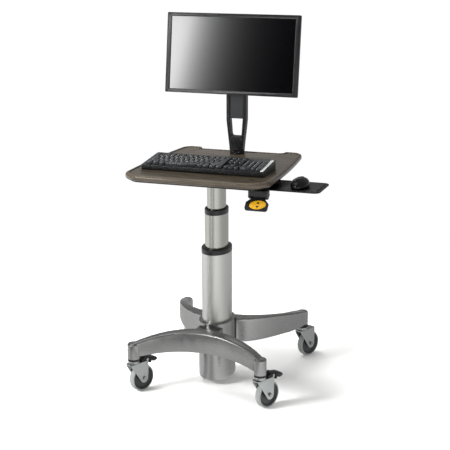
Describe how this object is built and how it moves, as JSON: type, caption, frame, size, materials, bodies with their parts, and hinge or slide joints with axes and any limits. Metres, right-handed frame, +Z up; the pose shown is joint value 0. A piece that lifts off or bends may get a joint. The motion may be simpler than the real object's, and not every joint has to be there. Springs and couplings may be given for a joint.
{
  "type": "height adjustable computer workstation cart",
  "caption": "Rolling workstation cart with arched legs, a telescoping column, a worktop, a monitor on a mast, a keyboard and a sliding mouse tray.",
  "frame": {"origin": "on the floor, midway between the four caster pivots", "axes": "+X to the user's right, -Y towards the user, +Z up"},
  "size_m": [0.6913, 0.6593, 1.3466],
  "materials": {
    "cast_aluminium": "satin brushed casting",
    "anodised_aluminium": "satin anodised",
    "collar_plastic": "moulded black",
    "plated_steel": "zinc plated",
    "black_steel": "black powder coat",
    "caster_stem_black": "black",
    "laminate": "taupe wood-grain laminate",
    "housing_plastic": "moulded black",
    "label_yellow": "printed yellow label",
    "knob_plastic": "moulded dark red",
    "mouse_plastic": "glossy black",
    "wheel_rubber": "matt black",
    "keyboard_plastic": "textured black",
    "key_plastic": "textured black",
    "channel_plastic": "dark grey",
    "monitor_plastic": "textured black",
    "screen_panel": "dark display panel",
    "zinc_steel": "zinc-plated pressed steel",
    "grey_tyre": "light grey non-marking rubber",
    "wheel_plastic": "dark grey",
    "pedal_plastic": "black"
  },
  "bodies": {
    "base": {"front_beam": "cast_aluminium", "rear_beam": "cast_aluminium", "hub_housing": "cast_aluminium", "hub_bottom_cover": "cast_aluminium", "leg_bolts": "plated_steel", "caster_stems": "caster_stem_black", "outer_column": "anodised_aluminium", "lower_collar": "collar_plastic", "gas_spring_cylinder": "black_steel"},
    "column_middle": {"mid_column": "anodised_aluminium", "upper_collar": "collar_plastic"},
    "deck": {"inner_column": "anodised_aluminium", "gas_spring_rod": "plated_steel", "column_top_plate": "black_steel", "worktop": "laminate", "support_pan": "black_steel", "release_housing": "housing_plastic", "paddle_pin": "plated_steel", "tray_rails": "black_steel", "mast_foot": "black_steel", "mast_bolts": "plated_steel", "mast": "black_steel", "mast_channel": "channel_plastic"},
    "paddle": {"release_paddle": "housing_plastic", "release_label": "label_yellow"},
    "knob": {"tray_knob": "knob_plastic"},
    "tray": {"mouse_tray": "black_steel"},
    "mouse": {"mouse_shell": "mouse_plastic"},
    "mouse_left": {"mouse_button_left": "mouse_plastic"},
    "mouse_right": {"mouse_button_right": "mouse_plastic"},
    "scroll_wheel": {"mouse_wheel": "wheel_rubber"},
    "keyboard": {"keyboard_case": "keyboard_plastic"},
    "keys": {"keyboard_keys": "key_plastic"},
    "spacebar": {"keyboard_spacebar": "key_plastic"},
    "slider": {"mast_slider": "black_steel", "tilt_pin": "plated_steel"},
    "monitor": {"vesa_bracket": "black_steel", "vesa_screws": "plated_steel", "monitor_back_cover": "monitor_plastic", "monitor_bezel": "monitor_plastic", "monitor_screen": "screen_panel"},
    "screen_buttons": {"monitor_buttons": "monitor_plastic"},
    "caster_front_left": {"caster_fork_front_left": "zinc_steel", "caster_axle_front_left": "plated_steel"},
    "wheel_front_left": {"caster_tyre_front_left": "grey_tyre", "caster_wheel_front_left": "wheel_plastic"},
    "caster_front_right": {"caster_fork_front_right": "zinc_steel", "caster_axle_front_right": "plated_steel"},
    "wheel_front_right": {"caster_tyre_front_right": "grey_tyre", "caster_wheel_front_right": "wheel_plastic"},
    "caster_rear_left": {"caster_fork_rear_left": "zinc_steel", "caster_axle_rear_left": "plated_steel"},
    "wheel_rear_left": {"caster_tyre_rear_left": "grey_tyre", "caster_wheel_rear_left": "wheel_plastic"},
    "caster_rear_right": {"caster_fork_rear_right": "zinc_steel", "caster_axle_rear_right": "plated_steel"},
    "wheel_rear_right": {"caster_tyre_rear_right": "grey_tyre", "caster_wheel_rear_right": "wheel_plastic"},
    "pedal_left": {"brake_pedal_left": "pedal_plastic"},
    "pedal_right": {"brake_pedal_right": "pedal_plastic"}
  },
  "joints": [
    {"name": "column_lower_slide", "type": "slide", "parent": "base", "child": "column_middle", "axis": [0, 0, 1], "range_m": [-0.1, 0.13]},
    {"name": "column_upper_slide", "type": "slide", "parent": "column_middle", "child": "deck", "axis": [0, 0, 1], "range_m": [-0.1, 0.13]},
    {"name": "release_paddle_squeeze", "type": "hinge", "parent": "deck", "child": "paddle", "pos_m": [0.23, -0.262, 0.769], "axis": [-1, 0, 0], "range_deg": [0, 12], "stiffness_Nm_per_rad": 1, "springref_deg": -5.73},
    {"name": "tray_knob_turn", "type": "hinge", "parent": "deck", "child": "knob", "pos_m": [0.25, -0.131, 0.792], "axis": [1, 0, 0], "range_deg": [0, 180]},
    {"name": "mouse_tray_slide", "type": "slide", "parent": "deck", "child": "tray", "axis": [1, 0, 0], "range_m": [-0.04, 0.06]},
    {"name": "mouse_lift", "type": "slide", "parent": "tray", "child": "mouse", "axis": [0, 0, 1], "range_m": [0, 0.15]},
    {"name": "mouse_left_click", "type": "slide", "parent": "mouse", "child": "mouse_left", "axis": [0, 0, 1], "range_m": [-0.0008, 0], "stiffness_N_per_m": 700, "springref_m": 0.0008},
    {"name": "mouse_right_click", "type": "slide", "parent": "mouse", "child": "mouse_right", "axis": [0, 0, 1], "range_m": [-0.0008, 0], "stiffness_N_per_m": 700, "springref_m": 0.0008},
    {"name": "mouse_wheel_roll", "type": "hinge", "parent": "mouse", "child": "scroll_wheel", "pos_m": [0.34, -0.11, 0.8065], "axis": [1, 0, 0], "continuous": true},
    {"name": "keyboard_lift", "type": "slide", "parent": "deck", "child": "keyboard", "axis": [0, 0, 1], "range_m": [0, 0.15]},
    {"name": "keys_press", "type": "slide", "parent": "keyboard", "child": "keys", "axis": [0, -0.0933, 0.9956], "range_m": [-0.003, 0], "stiffness_N_per_m": 3000, "springref_m": 0.002},
    {"name": "spacebar_press", "type": "slide", "parent": "keyboard", "child": "spacebar", "axis": [0, -0.0933, 0.9956], "range_m": [-0.003, 0], "stiffness_N_per_m": 250, "springref_m": 0.002},
    {"name": "monitor_height", "type": "slide", "parent": "deck", "child": "slider", "axis": [0, 0, 1], "range_m": [-0.08, 0.04]},
    {"name": "monitor_tilt", "type": "hinge", "parent": "slider", "child": "monitor", "pos_m": [0, 0.164, 1.201], "axis": [-1, 0, 0], "range_deg": [-13, 5]},
    {"name": "monitor_button_press", "type": "slide", "parent": "monitor", "child": "screen_buttons", "axis": [0, -0.9903, 0.1392], "range_m": [-0.0005, 0], "stiffness_N_per_m": 400, "springref_m": 0.0006},
    {"name": "swivel_front_left", "type": "hinge", "parent": "base", "child": "caster_front_left", "pos_m": [-0.2415, -0.274, 0.12], "axis": [0, 0, 1], "continuous": true},
    {"name": "roll_front_left", "type": "hinge", "parent": "caster_front_left", "child": "wheel_front_left", "pos_m": [-0.22561, -0.24282, 0.05], "axis": [-0.891, 0.454, 0], "continuous": true},
    {"name": "swivel_front_right", "type": "hinge", "parent": "base", "child": "caster_front_right", "pos_m": [0.2415, -0.274, 0.12], "axis": [0, 0, 1], "continuous": true},
    {"name": "roll_front_right", "type": "hinge", "parent": "caster_front_right", "child": "wheel_front_right", "pos_m": [0.25739, -0.24282, 0.05], "axis": [-0.891, 0.454, 0], "continuous": true},
    {"name": "swivel_rear_left", "type": "hinge", "parent": "base", "child": "caster_rear_left", "pos_m": [-0.2415, 0.274, 0.12], "axis": [0, 0, 1], "continuous": true},
    {"name": "roll_rear_left", "type": "hinge", "parent": "caster_rear_left", "child": "wheel_rear_left", "pos_m": [-0.22561, 0.30518, 0.05], "axis": [-0.891, 0.454, 0], "continuous": true},
    {"name": "swivel_rear_right", "type": "hinge", "parent": "base", "child": "caster_rear_right", "pos_m": [0.2415, 0.274, 0.12], "axis": [0, 0, 1], "continuous": true},
    {"name": "roll_rear_right", "type": "hinge", "parent": "caster_rear_right", "child": "wheel_rear_right", "pos_m": [0.25739, 0.30518, 0.05], "axis": [-0.891, 0.454, 0], "continuous": true},
    {"name": "brake_left", "type": "hinge", "parent": "caster_front_left", "child": "pedal_left", "pos_m": [-0.21789, -0.22767, 0.119], "axis": [-0.891, 0.454, 0], "range_deg": [0, 12]},
    {"name": "brake_right", "type": "hinge", "parent": "caster_front_right", "child": "pedal_right", "pos_m": [0.26511, -0.22767, 0.119], "axis": [-0.891, 0.454, 0], "range_deg": [0, 12]}
  ],
  "couplings": [
    {"joint": "column_lower_slide", "follows": "column_upper_slide", "ratio": 1}
  ]
}
